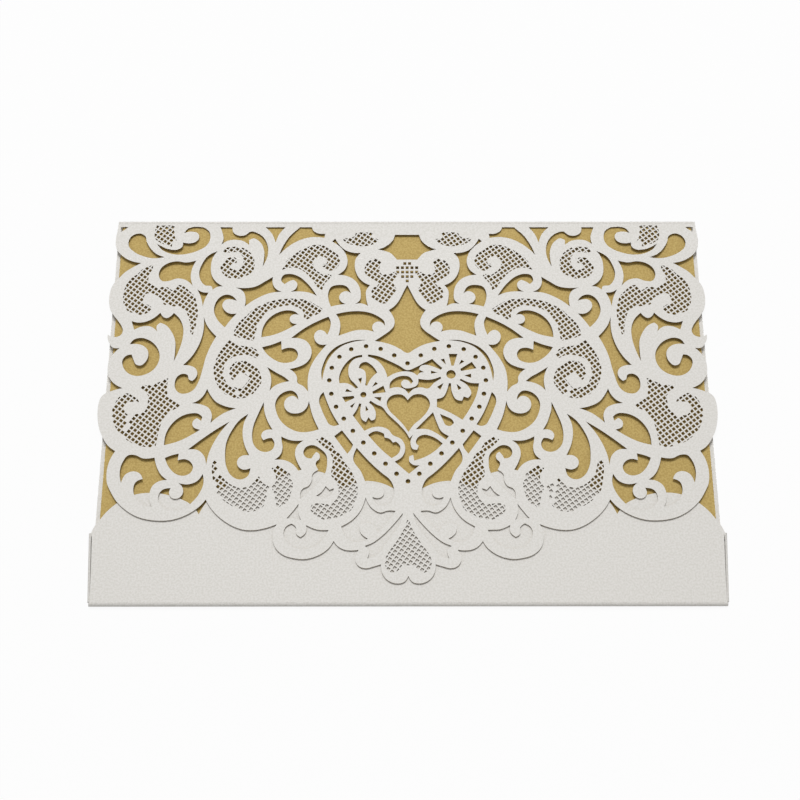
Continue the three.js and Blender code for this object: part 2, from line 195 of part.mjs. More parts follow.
// The lattice fields, given in the same way.
const LATTICE_CENTRE_HALF = [
  0.0, 26.3, 0.8, 23.6, 2.0, 21.2, 3.6, 18.6, 5.4, 16.1, 6.6, 13.6, 6.6, 11.8, 5.5, 10.2, 4.0, 9.6,
  2.9, 10.6, 1.8, 12.0, 0.0, 12.0,
];
const LATTICES = [
  [20.9, 120.6, 19.3, 118.9, 17.2, 118.0, 15.0, 117.6, 12.8, 117.7, 10.9, 118.3, 9.1, 119.9, 11.2, 120.6,
    10.6, 122.4, 16.2, 122.4, 16.9, 120.9, 18.3, 120.2],
  [9.5, 112.7, 11.1, 112.6, 12.4, 111.5, 13.2, 110.0, 13.3, 108.2, 12.4, 106.8, 11.1, 106.0, 9.7, 105.1,
    8.9, 104.3, 9.2, 103.3, 10.4, 102.6, 11.1, 101.3, 11.1, 99.3, 10.0, 98.3, 8.4, 97.4, 6.4, 97.3,
    5.2, 98.9, 4.2, 100.4, 3.4, 101.8, 4.0, 102.9, 4.4, 104.2, 4.0, 105.7, 3.1, 106.2, 3.4, 108.2,
    4.4, 108.0, 5.5, 107.2, 6.7, 107.4, 7.7, 106.8, 8.7, 108.0, 9.0, 109.3, 8.6, 110.6, 8.1, 111.9],
  [58.8, 115.4, 57.7, 116.6, 56.1, 117.0, 53.9, 117.1, 52.4, 116.8, 51.0, 115.9, 49.7, 114.8, 48.9, 113.5,
    48.5, 111.7, 48.5, 109.9, 49.0, 108.4, 50.4, 107.2, 52.6, 106.1, 55.0, 106.0, 56.8, 106.5, 58.1, 107.7,
    58.9, 109.3, 58.7, 110.8, 57.9, 111.9, 56.8, 113.0, 55.2, 113.4, 53.9, 112.6, 54.1, 111.5, 55.3, 111.5,
    56.1, 110.4, 55.9, 109.3, 54.6, 108.9, 53.3, 108.8, 52.6, 109.9, 51.9, 111.0, 51.7, 112.6, 52.1, 113.9,
    53.0, 114.8, 54.4, 115.5, 56.6, 115.3],
  [40.2, 108.7, 39.4, 109.9, 38.4, 111.5, 37.1, 113.3, 35.5, 114.5, 34.0, 115.7, 32.4, 116.5, 30.3, 117.6,
    28.3, 117.8, 27.0, 117.7, 25.7, 116.9, 24.1, 115.7, 22.6, 114.7, 21.7, 113.5, 21.5, 111.5, 22.0, 110.2,
    23.0, 109.2, 24.8, 108.8, 26.1, 109.4, 27.2, 109.9, 25.3, 111.3, 25.2, 112.6, 26.3, 113.7, 27.9, 113.7,
    29.3, 113.2, 30.0, 111.7, 29.7, 110.2, 29.0, 108.8, 27.5, 107.7, 26.1, 106.8, 25.2, 107.2, 24.3, 107.4,
    24.0, 106.8, 24.8, 105.7, 25.9, 104.4, 26.7, 102.9, 26.8, 101.0, 27.7, 102.2, 28.8, 104.0, 29.7, 105.2,
    30.8, 106.8, 31.9, 107.9, 33.1, 108.9, 34.2, 109.5, 35.5, 109.9, 37.5, 109.8, 39.3, 109.2],
  [80.1, 125.0, 80.4, 123.7, 80.5, 121.9, 80.2, 120.1, 79.2, 119.2, 77.6, 118.4, 76.1, 117.7, 74.9, 117.4,
    75.0, 119.2, 73.5, 119.5, 74.3, 120.8, 74.6, 122.4, 74.5, 123.9, 74.3, 125.0],
  [80.5, 110.7, 81.8, 110.0, 83.6, 109.1, 84.7, 107.7, 86.2, 106.4, 87.6, 105.1, 88.3, 103.5, 88.8, 101.8,
    89.0, 100.2, 88.9, 98.0, 88.4, 96.4, 87.4, 94.7, 86.4, 94.1, 84.9, 94.0, 83.8, 93.3, 82.2, 93.4,
    80.9, 94.3, 80.0, 95.3, 80.5, 96.2, 82.3, 96.9, 82.9, 98.0, 82.7, 99.5, 81.8, 100.7, 80.9, 100.9,
    79.2, 100.4, 77.8, 99.5, 76.7, 98.4, 76.7, 97.3, 75.8, 96.7, 74.3, 96.4, 71.6, 96.0, 70.3, 95.5,
    69.2, 94.5, 68.5, 93.3, 68.0, 91.9, 67.5, 89.6, 67.3, 87.4, 66.9, 85.7, 66.5, 87.4, 65.9, 89.7,
    65.6, 92.4, 65.6, 95.0, 66.0, 96.9, 66.5, 98.7, 67.2, 100.0, 68.3, 101.1, 69.6, 102.4, 71.0, 103.3,
    72.2, 103.6, 72.7, 102.4, 73.4, 101.5, 74.3, 101.8, 75.3, 102.6, 76.3, 102.9, 77.6, 102.6, 79.2, 103.1,
    80.5, 104.0, 81.8, 105.1, 81.7, 106.2, 81.5, 107.7, 80.7, 109.1],
  [53.9, 86.2, 53.4, 88.4, 51.9, 90.9, 50.0, 92.8, 48.3, 94.8, 46.0, 96.2, 43.3, 97.5, 39.6, 98.4,
    35.3, 98.6, 31.0, 97.9, 28.6, 96.4, 25.9, 94.6, 28.6, 93.2, 32.4, 91.0, 32.6, 94.7, 34.5, 96.0,
    37.5, 96.5, 41.5, 95.5, 44.0, 94.3, 45.5, 92.2, 46.7, 89.7, 47.4, 86.0, 47.8, 84.3, 50.6, 85.0,
    52.4, 85.5],
  [55.5, 84.5, 56.9, 82.3, 57.6, 80.7, 58.9, 77.7, 59.5, 74.9, 59.0, 71.5, 57.9, 69.0, 55.9, 66.5,
    53.2, 65.2, 50.3, 65.0, 47.8, 66.0, 46.2, 67.9, 44.9, 70.3, 45.2, 72.5, 46.5, 75.0, 48.4, 76.6,
    50.8, 77.2, 52.8, 76.9, 54.4, 75.0, 54.7, 73.0, 53.3, 70.7, 52.3, 71.9, 51.3, 73.5, 50.0, 73.3,
    48.3, 71.3, 49.3, 69.7, 51.0, 67.9, 53.0, 68.4, 54.9, 69.1, 56.1, 71.0, 56.8, 73.5, 56.1, 76.2,
    54.4, 78.4, 51.6, 79.4, 49.3, 79.5, 46.3, 78.1, 45.8, 79.6, 47.0, 81.2, 49.3, 82.1, 51.7, 82.4,
    53.6, 83.2],
  [88.9, 63.3, 89.7, 60.3, 89.2, 57.5, 87.6, 54.3, 84.9, 51.5, 81.4, 49.7, 78.3, 49.0, 76.0, 49.1,
    75.7, 51.5, 75.3, 54.5, 74.3, 57.7, 72.3, 60.4, 69.1, 62.2, 71.0, 63.9, 72.9, 65.2, 73.7, 68.3,
    73.4, 71.5, 75.8, 70.2, 77.8, 69.3, 80.0, 69.0, 82.4, 68.6, 80.5, 67.1, 79.0, 65.8, 79.0, 63.8,
    79.3, 61.3, 80.3, 60.0, 82.1, 59.6, 84.3, 59.0, 86.1, 60.4, 86.4, 62.4, 85.7, 63.5, 83.8, 63.8,
    81.7, 63.2, 82.5, 64.5, 84.0, 65.5, 85.6, 66.4, 87.4, 65.6],
  [27.5, 51.3, 25.6, 52.2, 24.0, 51.2, 22.3, 48.6, 20.3, 46.2, 18.9, 43.6, 17.2, 41.3, 16.2, 39.2,
    15.3, 37.2, 15.1, 34.6, 15.9, 31.4, 17.0, 28.9, 19.2, 27.6, 21.8, 26.3, 24.2, 25.8, 26.5, 26.9,
    28.7, 28.9, 28.3, 30.8, 26.0, 30.8, 23.6, 30.6, 21.6, 31.6, 20.5, 33.4, 20.6, 35.6, 21.2, 38.0,
    22.7, 39.6, 22.6, 42.2, 22.5, 45.5, 24.4, 48.2, 26.6, 50.4],
  [40.7, 42.0, 38.9, 42.8, 37.1, 42.1, 35.6, 40.6, 34.8, 38.4, 34.4, 36.2, 35.0, 34.2, 35.6, 31.6,
    37.4, 30.6, 38.7, 29.5, 39.2, 32.0, 39.8, 34.6, 40.6, 36.6, 39.3, 38.4, 39.5, 40.4],
  [57.9, 45.4, 57.0, 43.6, 56.4, 41.2, 55.3, 39.0, 53.6, 37.3, 51.4, 36.1, 48.8, 35.8, 46.6, 36.8,
    44.5, 39.5, 43.3, 37.2, 41.3, 36.3, 42.2, 34.0, 42.1, 32.0, 43.4, 29.7, 45.9, 28.6, 48.4, 28.6,
    51.0, 29.7, 53.5, 31.2, 55.8, 33.1, 57.3, 35.2, 58.0, 38.4, 58.5, 41.4, 58.4, 43.6],
];
const POCKET_TOP_HALF = [
  93.3, 22.0, 92.5, 24.0, 91.2, 25.9, 89.2, 28.6, 86.7, 31.0, 84.2, 32.8, 81.4, 33.9, 78.9, 34.4,
  76.4, 34.5, 73.6, 34.3, 70.5, 33.6, 67.6, 32.6, 64.9, 31.2, 63.2, 29.6, 61.9, 27.8, 60.9, 29.9,
  59.0, 32.6, 56.4, 35.0, 53.0, 36.9, 48.6, 38.0, 44.4, 37.8, 40.3, 36.5, 38.6, 39.0, 36.0, 40.6,
  32.6, 41.6, 28.9, 41.6, 26.5, 41.2, 24.6, 40.6, 21.8, 38.4, 19.4, 35.2, 17.9, 36.6, 16.4, 37.3,
  13.3, 38.2, 10.3, 38.1, 7.2, 37.3, 4.2, 35.8, 1.8, 34.2, 0.0, 32.6,
];
const FLOWERS = [
  [13.52, 66.0, 0.95],
  [-13.34, 72.8, 1.45],
];

const wasm = await Module();
wasm.setup();

const middle = HEIGHT / 2;

function pointsOf(flat) {
  const points = [];
  for (let i = 0; i < flat.length; i += 2) {
    points.push([flat[i], flat[i + 1]]);
  }
  return points;
}

const flipped = (points) => points.map(([x, y]) => [-x, y]).reverse();

function fromHalf(flat) {
  const half = pointsOf(flat);
  return half.concat(flipped(half).filter(([x]) => x !== 0));
}

function circle(x, y, radius, sides) {
  const points = [];
  for (let i = 0; i < sides; i += 1) {
    const turn = (2 * Math.PI * i) / sides;
    points.push([x + radius * Math.cos(turn), y + radius * Math.sin(turn)]);
  }
  return points;
}

function inside(outline, x, y) {
  let found = false;
  for (let i = 0, j = outline.length - 1; i < outline.length; j = i, i += 1) {
    const [ax, ay] = outline[i];
    const [bx, by] = outline[j];
    if (ay > y !== by > y && x < ((bx - ax) * (y - ay)) / (by - ay) + ax) {
      found = !found;
    }
  }
  return found;
}

function latticeGaps(outline) {
  const turn = THREE.MathUtils.degToRad(LATTICE_ANGLE);
  const across = [Math.cos(turn), Math.sin(turn)];
  const square = (x, y, half) => [[1, 1], [-1, 1], [-1, -1], [1, -1]].map(([a, b]) => [
    x + half * (a * across[0] - b * across[1]),
    y + half * (a * across[1] + b * across[0]),
  ]);
  const gaps = [];
  for (let i = -40; i <= 60; i += 1) {
    for (let j = -60; j <= 60; j += 1) {
      const x = LATTICE_PITCH * (i * across[0] - j * across[1]);
      const y = LATTICE_PITCH * (i * across[1] + j * across[0]);
      const room = square(x, y, LATTICE_GAP / 2 + LATTICE_EDGE);
      if (room.every(([a, b]) => inside(outline, a, b))) {
        gaps.push(square(x, y, LATTICE_GAP / 2));
      }
    }
  }
  return gaps;
}

function openings() {
  const onBothSides = (points) => [points, flipped(points)];
  const list = CENTRE_HALVES.map(fromHalf);
  list.push(...PAIRS.map(pointsOf).flatMap(onBothSides));
  list.push(...HEART_OPENINGS.map(pointsOf));
  for (const [x, y] of pointsOf(RIM_HOLES)) {
    list.push(...onBothSides(circle(x, y, RIM_HOLE_RADIUS, RIM_HOLE_SIDES)));
  }
  list.push(circle(0, 76.5, RIM_HOLE_RADIUS, RIM_HOLE_SIDES));
  list.push(circle(0, 37.9, RIM_HOLE_RADIUS, RIM_HOLE_SIDES));
  for (const [x, y, radius] of FLOWERS) {
    list.push(circle(x, y, radius, 10));
  }
  list.push(...latticeGaps(fromHalf(LATTICE_CENTRE_HALF)));
  for (const field of LATTICES) {
    for (const gap of latticeGaps(pointsOf(field))) {
      list.push(...onBothSides(gap));
    }
  }
  return list;
}

// The lists count x from the centre line to the left, so it changes sign here.
const placed = (points, rise) => points.map(([x, y]) => new THREE.Vector2(-x, y + rise - middle));

function sheet(outline, z, thickness, rise = 0) {
  const shape = new THREE.Shape(placed(outline, rise));
  const geometry = new THREE.ExtrudeGeometry(shape, { depth: thickness, bevelEnabled: false });
  geometry.translate(0, 0, z);
  return geometry;
}

function arc(cx, cy, radius, from, to) {
  const points = [];
  for (let i = 0; i <= FOLD_STEPS; i += 1) {
    const turn = THREE.MathUtils.degToRad(from + ((to - from) * i) / FOLD_STEPS);
    points.push(new THREE.Vector2(cx + radius * Math.cos(turn), cy + radius * Math.sin(turn)));
  }
  return points;
}

// Back panel with the top and the bottom fold, drawn in Y and Z and extruded across the card.
function backWithFolds() {
  const top = middle - TOP_FOLD_RADIUS;
  const bottom = BOTTOM_FOLD_RADIUS - middle;
  const profile = new THREE.Shape([
    ...arc(top, TOP_FOLD_RADIUS, TOP_FOLD_RADIUS, -90, 90),
    ...arc(top, TOP_FOLD_RADIUS, TOP_FOLD_RADIUS - PAPER, 90, -90),
    ...arc(bottom, BOTTOM_FOLD_RADIUS, BOTTOM_FOLD_RADIUS - PAPER, 270, 90),
    ...arc(bottom, BOTTOM_FOLD_RADIUS, BOTTOM_FOLD_RADIUS, 90, 270),
  ]);
  const geometry = new THREE.ExtrudeGeometry(profile, { depth: WIDTH, bevelEnabled: false });
  geometry.rotateX(Math.PI / 2);
  geometry.rotateZ(Math.PI / 2);
  geometry.translate(-WIDTH / 2, 0, 0);
  return geometry;
}

// One side fold of the pocket with the glue tab that it carries to the back panel.
function sideFold(side) {
  const centre = PAPER + SIDE_FOLD_RADIUS;
  const profile = new THREE.Shape([
    ...arc(0, centre, SIDE_FOLD_RADIUS, -90, 90),
    ...arc(0, centre, SIDE_FOLD_RADIUS - PAPER, 90, -90),
    new THREE.Vector2(-TAB_REACH, 2 * PAPER),
    new THREE.Vector2(-TAB_REACH, PAPER),
  ]);
  const length = SIDE_FOLD_TOP - SIDE_FOLD_FOOT;
  const geometry = new THREE.ExtrudeGeometry(profile, { depth: length, bevelEnabled: false });
  geometry.rotateX(Math.PI / 2);
  geometry.translate(0, SIDE_FOLD_TOP - middle, 0);
  const position = geometry.getAttribute('position');
  for (let i = 0; i < position.count; i += 1) {
    const rise = (position.getY(i) + middle - SIDE_FOLD_FOOT) / length;
    const lean = POCKET_SIDE_LOW + (POCKET_SIDE_HIGH - POCKET_SIDE_LOW) * rise;
    position.setX(i, side * (position.getX(i) + lean));
  }
  if (side < 0) {
    for (let i = 0; i < position.count; i += 3) {
      const first = new THREE.Vector3().fromBufferAttribute(position, i);
      const second = new THREE.Vector3().fromBufferAttribute(position, i + 1);
      position.setXYZ(i, ...second);
      position.setXYZ(i + 1, ...first);
    }
  }
  return geometry;
}

function pocketOutline() {
  const half = [
    [0, BOTTOM_FOLD_RADIUS],
    [WIDTH / 2, BOTTOM_FOLD_RADIUS],
    [POCKET_SIDE_LOW, SIDE_FOLD_FOOT],
    [POCKET_SIDE_HIGH, SIDE_FOLD_TOP],
    ...pointsOf(POCKET_TOP_HALF),
  ];
  return half.concat(flipped(half).filter(([x]) => x !== 0));
}

function solid(geometry) {
  const bare = geometry.clone();
  bare.deleteAttribute('normal');
  bare.deleteAttribute('uv');
  const merged = mergeVertices(bare);
  const mesh = new wasm.Mesh({
    numProp: 3,
    vertProperties: new Float32Array(merged.getAttribute('position').array),
    triVerts: new Uint32Array(merged.getIndex().array),
  });
  mesh.merge();
  return new wasm.Manifold(mesh);
}

function geometryOf(manifold) {
  const mesh = manifold.getMesh();
  const geometry = new THREE.BufferGeometry();
  geometry.setAttribute('position', new THREE.BufferAttribute(mesh.vertProperties, 3));
  geometry.setIndex(new THREE.BufferAttribute(mesh.triVerts, 1));
  geometry.computeVertexNormals();
  return geometry;
}

const flapRise = HEIGHT - DRAWN_HEIGHT; // the flap hangs from the top fold
const flapHeight = 2 * TOP_FOLD_RADIUS - PAPER;
const pocketHeight = 2 * BOTTOM_FOLD_RADIUS - PAPER;
let flap = solid(sheet(fromHalf(FLAP_HALF), flapHeight, PAPER, flapRise));
for (const opening of openings()) {
  flap = flap.subtract(solid(sheet(opening, flapHeight - PAPER, 3 * PAPER, flapRise)));
}
let cover = solid(backWithFolds());
cover = cover.add(flap);
cover = cover.add(solid(sheet(pocketOutline(), pocketHeight, PAPER)));
cover = cover.add(solid(sideFold(1)));
cover = cover.add(solid(sideFold(-1)));

const coverMaterial = new THREE.MeshStandardMaterial({ color: '#e6e3de', roughness: 0.6 });
const coverMesh = new THREE.Mesh(geometryOf(cover), coverMaterial);
coverMesh.name = 'laser_cut_cover';

const insertMaterial = new THREE.MeshStandardMaterial({
  color: '#bfa468',
  roughness: 0.45,
  metalness: 0.3,
});
const insertWidth = WIDTH - 2 * INSERT_SIDE_GAP;
const insertLength = HEIGHT - INSERT_TOP_GAP - INSERT_FOOT;
const insert = new THREE.BoxGeometry(insertWidth, insertLength, INSERT_THICKNESS);
insert.translate(0, INSERT_FOOT + insertLength / 2 - middle, INSERT_HEIGHT + INSERT_THICKNESS / 2);
const insertMesh = new THREE.Mesh(insert, insertMaterial);
insertMesh.name = 'gold_insert_card';

const group = new THREE.Group();
group.name = 'invitation_card';
group.add(coverMesh, insertMesh);

export default group;
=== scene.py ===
"""Dresses a folded invitation card: the laser-cut pearl cover with its pocket, and the gold insert card.

The flap and the pocket take their outlines from the CAD cover, and this script rounds them. It works out the
lace's fine lattice from the outlines of its fields, and bends the flap down to its pressed fold.
"""

import math

import bmesh
import bpy
from mathutils import Euler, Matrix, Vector


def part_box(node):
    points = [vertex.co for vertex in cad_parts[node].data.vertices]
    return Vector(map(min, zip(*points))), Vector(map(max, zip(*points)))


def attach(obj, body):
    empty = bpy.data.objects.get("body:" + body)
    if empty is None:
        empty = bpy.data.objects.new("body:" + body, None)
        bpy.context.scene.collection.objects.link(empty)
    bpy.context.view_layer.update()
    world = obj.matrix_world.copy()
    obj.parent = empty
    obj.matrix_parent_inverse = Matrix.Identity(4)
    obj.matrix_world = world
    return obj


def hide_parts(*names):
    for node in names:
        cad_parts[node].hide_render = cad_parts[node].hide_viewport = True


bl_info = {
    "name": "Laser-cut invitation card",
    "version": (1, 0, 0),
    "blender": (4, 5, 0),
    "location": "3D View > Sidebar > Card",
    "description": "Builds the lace cover, the pocket, the gold insert's finish and a small studio",
    "category": "Add Mesh",
}

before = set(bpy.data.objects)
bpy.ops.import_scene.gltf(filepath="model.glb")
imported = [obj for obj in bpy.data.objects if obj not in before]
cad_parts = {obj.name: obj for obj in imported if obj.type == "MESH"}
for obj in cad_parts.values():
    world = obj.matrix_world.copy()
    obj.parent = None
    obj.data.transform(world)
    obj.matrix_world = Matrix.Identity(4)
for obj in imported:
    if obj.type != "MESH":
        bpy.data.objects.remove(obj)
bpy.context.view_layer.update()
MM = 0.001
COVER = "laser_cut_cover"
INSERT = "gold_insert_card"

LOW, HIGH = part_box(COVER)
HEIGHT = (HIGH.y - LOW.y) / MM
FLAP_TOP = HIGH.z / MM

# The lattice fields of the flap in millimetres, as x, y pairs: x is the distance to the left of the
# centre line and y the height above the bottom fold. Each field is on both sides of the centre line, and
# the one on the line itself is given by its left half.
CENTRE_FIELD_HALF = [
    0.0, 26.3, 0.8, 23.6, 2.0, 21.2, 3.6, 18.6, 5.4, 16.1, 6.6, 13.6, 6.6, 11.8, 5.5, 10.2, 4.0, 9.6,
    2.9, 10.6, 1.8, 12.0, 0.0, 12.0,
]
LATTICE_FIELDS = [
    [20.9, 120.6, 19.3, 118.9, 17.2, 118.0, 15.0, 117.6, 12.8, 117.7, 10.9, 118.3, 9.1, 119.9, 11.2, 120.6,
     10.6, 122.4, 16.2, 122.4, 16.9, 120.9, 18.3, 120.2],
    [9.5, 112.7, 11.1, 112.6, 12.4, 111.5, 13.2, 110.0, 13.3, 108.2, 12.4, 106.8, 11.1, 106.0, 9.7, 105.1,
     8.9, 104.3, 9.2, 103.3, 10.4, 102.6, 11.1, 101.3, 11.1, 99.3, 10.0, 98.3, 8.4, 97.4, 6.4, 97.3,
     5.2, 98.9, 4.2, 100.4, 3.4, 101.8, 4.0, 102.9, 4.4, 104.2, 4.0, 105.7, 3.1, 106.2, 3.4, 108.2,
     4.4, 108.0, 5.5, 107.2, 6.7, 107.4, 7.7, 106.8, 8.7, 108.0, 9.0, 109.3, 8.6, 110.6, 8.1, 111.9],
    [58.8, 115.4, 57.7, 116.6, 56.1, 117.0, 53.9, 117.1, 52.4, 116.8, 51.0, 115.9, 49.7, 114.8,
     48.9, 113.5, 48.5, 111.7, 48.5, 109.9, 49.0, 108.4, 50.4, 107.2, 52.6, 106.1, 55.0, 106.0,
     56.8, 106.5, 58.1, 107.7, 58.9, 109.3, 58.7, 110.8, 57.9, 111.9, 56.8, 113.0, 55.2, 113.4,
     53.9, 112.6, 54.1, 111.5, 55.3, 111.5, 56.1, 110.4, 55.9, 109.3, 54.6, 108.9, 53.3, 108.8,
     52.6, 109.9, 51.9, 111.0, 51.7, 112.6, 52.1, 113.9, 53.0, 114.8, 54.4, 115.5, 56.6, 115.3],
    [40.2, 108.7, 39.4, 109.9, 38.4, 111.5, 37.1, 113.3, 35.5, 114.5, 34.0, 115.7, 32.4, 116.5,
     30.3, 117.6, 28.3, 117.8, 27.0, 117.7, 25.7, 116.9, 24.1, 115.7, 22.6, 114.7, 21.7, 113.5,
     21.5, 111.5, 22.0, 110.2, 23.0, 109.2, 24.8, 108.8, 26.1, 109.4, 27.2, 109.9, 25.3, 111.3,
     25.2, 112.6, 26.3, 113.7, 27.9, 113.7, 29.3, 113.2, 30.0, 111.7, 29.7, 110.2, 29.0, 108.8,
     27.5, 107.7, 26.1, 106.8, 25.2, 107.2, 24.3, 107.4, 24.0, 106.8, 24.8, 105.7, 25.9, 104.4,
     26.7, 102.9, 26.8, 101.0, 27.7, 102.2, 28.8, 104.0, 29.7, 105.2, 30.8, 106.8, 31.9, 107.9,
     33.1, 108.9, 34.2, 109.5, 35.5, 109.9, 37.5, 109.8, 39.3, 109.2],
    [80.1, 125.0, 80.4, 123.7, 80.5, 121.9, 80.2, 120.1, 79.2, 119.2, 77.6, 118.4, 76.1, 117.7,
     74.9, 117.4, 75.0, 119.2, 73.5, 119.5, 74.3, 120.8, 74.6, 122.4, 74.5, 123.9, 74.3, 125.0],
    [80.5, 110.7, 81.8, 110.0, 83.6, 109.1, 84.7, 107.7, 86.2, 106.4, 87.6, 105.1, 88.3, 103.5,
     88.8, 101.8, 89.0, 100.2, 88.9, 98.0, 88.4, 96.4, 87.4, 94.7, 86.4, 94.1, 84.9, 94.0, 83.8, 93.3,
     82.2, 93.4, 80.9, 94.3, 80.0, 95.3, 80.5, 96.2, 82.3, 96.9, 82.9, 98.0, 82.7, 99.5, 81.8, 100.7,
     80.9, 100.9, 79.2, 100.4, 77.8, 99.5, 76.7, 98.4, 76.7, 97.3, 75.8, 96.7, 74.3, 96.4, 71.6, 96.0,
     70.3, 95.5, 69.2, 94.5, 68.5, 93.3, 68.0, 91.9, 67.5, 89.6, 67.3, 87.4, 66.9, 85.7, 66.5, 87.4,
     65.9, 89.7, 65.6, 92.4, 65.6, 95.0, 66.0, 96.9, 66.5, 98.7, 67.2, 100.0, 68.3, 101.1, 69.6, 102.4,
     71.0, 103.3, 72.2, 103.6, 72.7, 102.4, 73.4, 101.5, 74.3, 101.8, 75.3, 102.6, 76.3, 102.9,
     77.6, 102.6, 79.2, 103.1, 80.5, 104.0, 81.8, 105.1, 81.7, 106.2, 81.5, 107.7, 80.7, 109.1],
    [53.9, 86.2, 53.4, 88.4, 51.9, 90.9, 50.0, 92.8, 48.3, 94.8, 46.0, 96.2, 43.3, 97.5, 39.6, 98.4,
     35.3, 98.6, 31.0, 97.9, 28.6, 96.4, 25.9, 94.6, 28.6, 93.2, 32.4, 91.0, 32.6, 94.7, 34.5, 96.0,
     37.5, 96.5, 41.5, 95.5, 44.0, 94.3, 45.5, 92.2, 46.7, 89.7, 47.4, 86.0, 47.8, 84.3, 50.6, 85.0,
     52.4, 85.5],
    [55.5, 84.5, 56.9, 82.3, 57.6, 80.7, 58.9, 77.7, 59.5, 74.9, 59.0, 71.5, 57.9, 69.0, 55.9, 66.5,
     53.2, 65.2, 50.3, 65.0, 47.8, 66.0, 46.2, 67.9, 44.9, 70.3, 45.2, 72.5, 46.5, 75.0, 48.4, 76.6,
     50.8, 77.2, 52.8, 76.9, 54.4, 75.0, 54.7, 73.0, 53.3, 70.7, 52.3, 71.9, 51.3, 73.5, 50.0, 73.3,
     48.3, 71.3, 49.3, 69.7, 51.0, 67.9, 53.0, 68.4, 54.9, 69.1, 56.1, 71.0, 56.8, 73.5, 56.1, 76.2,
     54.4, 78.4, 51.6, 79.4, 49.3, 79.5, 46.3, 78.1, 45.8, 79.6, 47.0, 81.2, 49.3, 82.1, 51.7, 82.4,
     53.6, 83.2],
    [88.9, 63.3, 89.7, 60.3, 89.2, 57.5, 87.6, 54.3, 84.9, 51.5, 81.4, 49.7, 78.3, 49.0, 76.0, 49.1,
     75.7, 51.5, 75.3, 54.5, 74.3, 57.7, 72.3, 60.4, 69.1, 62.2, 71.0, 63.9, 72.9, 65.2, 73.7, 68.3,
     73.4, 71.5, 75.8, 70.2, 77.8, 69.3, 80.0, 69.0, 82.4, 68.6, 80.5, 67.1, 79.0, 65.8, 79.0, 63.8,
     79.3, 61.3, 80.3, 60.0, 82.1, 59.6, 84.3, 59.0, 86.1, 60.4, 86.4, 62.4, 85.7, 63.5, 83.8, 63.8,
     81.7, 63.2, 82.5, 64.5, 84.0, 65.5, 85.6, 66.4, 87.4, 65.6],
    [27.5, 51.3, 25.6, 52.2, 24.0, 51.2, 22.3, 48.6, 20.3, 46.2, 18.9, 43.6, 17.2, 41.3, 16.2, 39.2,
     15.3, 37.2, 15.1, 34.6, 15.9, 31.4, 17.0, 28.9, 19.2, 27.6, 21.8, 26.3, 24.2, 25.8, 26.5, 26.9,
     28.7, 28.9, 28.3, 30.8, 26.0, 30.8, 23.6, 30.6, 21.6, 31.6, 20.5, 33.4, 20.6, 35.6, 21.2, 38.0,
     22.7, 39.6, 22.6, 42.2, 22.5, 45.5, 24.4, 48.2, 26.6, 50.4],
    [40.7, 42.0, 38.9, 42.8, 37.1, 42.1, 35.6, 40.6, 34.8, 38.4, 34.4, 36.2, 35.0, 34.2, 35.6, 31.6,
     37.4, 30.6, 38.7, 29.5, 39.2, 32.0, 39.8, 34.6, 40.6, 36.6, 39.3, 38.4, 39.5, 40.4],
    [57.9, 45.4, 57.0, 43.6, 56.4, 41.2, 55.3, 39.0, 53.6, 37.3, 51.4, 36.1, 48.8, 35.8, 46.6, 36.8,
     44.5, 39.5, 43.3, 37.2, 41.3, 36.3, 42.2, 34.0, 42.1, 32.0, 43.4, 29.7, 45.9, 28.6, 48.4, 28.6,
     51.0, 29.7, 53.5, 31.2, 55.8, 33.1, 57.3, 35.2, 58.0, 38.4, 58.5, 41.4, 58.4, 43.6],
]
# Rows of square holes in the bow at the top: height, then the distances from the centre line.
BOW_ROWS = [
    (105.0, [0]),
    (106.55, [0, 1.45]),
    (108.15, [0, 1.45, 3.0]),
    (109.7, [0, 1.5, 3.0]),
    (111.2, [0.75]),
]
# How the back sheet rises to the top fold behind the insert's edge: the distance from the fold and the height
# of the sheet's middle.
RISE = [
    (8, 0.15), (6.5, 0.16), (5, 0.2), (3.6, 0.27), (2.6, 0.35),
    (2.1, 0.44), (1.8, 0.65), (1.5, 0.88), (1.2, 0.98),
]

STRAIGHT = 8  # an edge of an outline that is longer than this, in mm, stays straight
LONG_EDGE = 3.5  # and so does one that is this many times its neighbour's length, where the turn is clear
FLAP_AREA = 1000  # the only outline with a larger area, in mm2, is the flap's own
COARSE_HOLE = 4, 4.0  # corners of the CAD's coarse lattice holes, and the area in mm2 that they stay under
RIM_MARK = 8, 2.0  # the same for the holes along the heart's rim
LATTICE_HOLE, RIM_HOLE = 1, 2  # what stands at a loose point of the flap's skeleton
RIM_HOLE_SIDES = 20
WHOLE = 0.99  # a lattice hole counts as whole while its field holds this share of it
SAME_POINT = 0.02  # corners of a cut hole that are nearer to each other than this, in mm, are one
WELD = 0.001  # vertices that are nearer to each other than this, in mm, are merged
LEVEL = 0.01  # heights that differ by less than this, in mm, are the same
SIDE_BAND = 0.5  # the pocket's side edges are where its outline is this near the back panel's edge, in mm
BEND_LINES = 6  # lines beside the fold along which the flap bends
LEAN = 0.42  # how far the bent flap shifts towards its fold for each mm that it drops
SHARP_TURN = 40  # a fold is shaded smooth where its faces turn by less than this, in degrees

# Mica flakes are about 0.05 mm across, which is too fine to show in the render. Their grain is drawn about ten
# times as coarse, so that the card looks pearly and not like plain paper.
PEARL_GRAIN, GOLD_GRAIN = 0.6, 0.55
GRAIN_RELIEF = 0.02  # how far the flakes stand out, in mm
GRAIN_TONES = 0.38, 0.62  # the noise between these goes from the darker tone to the lighter one

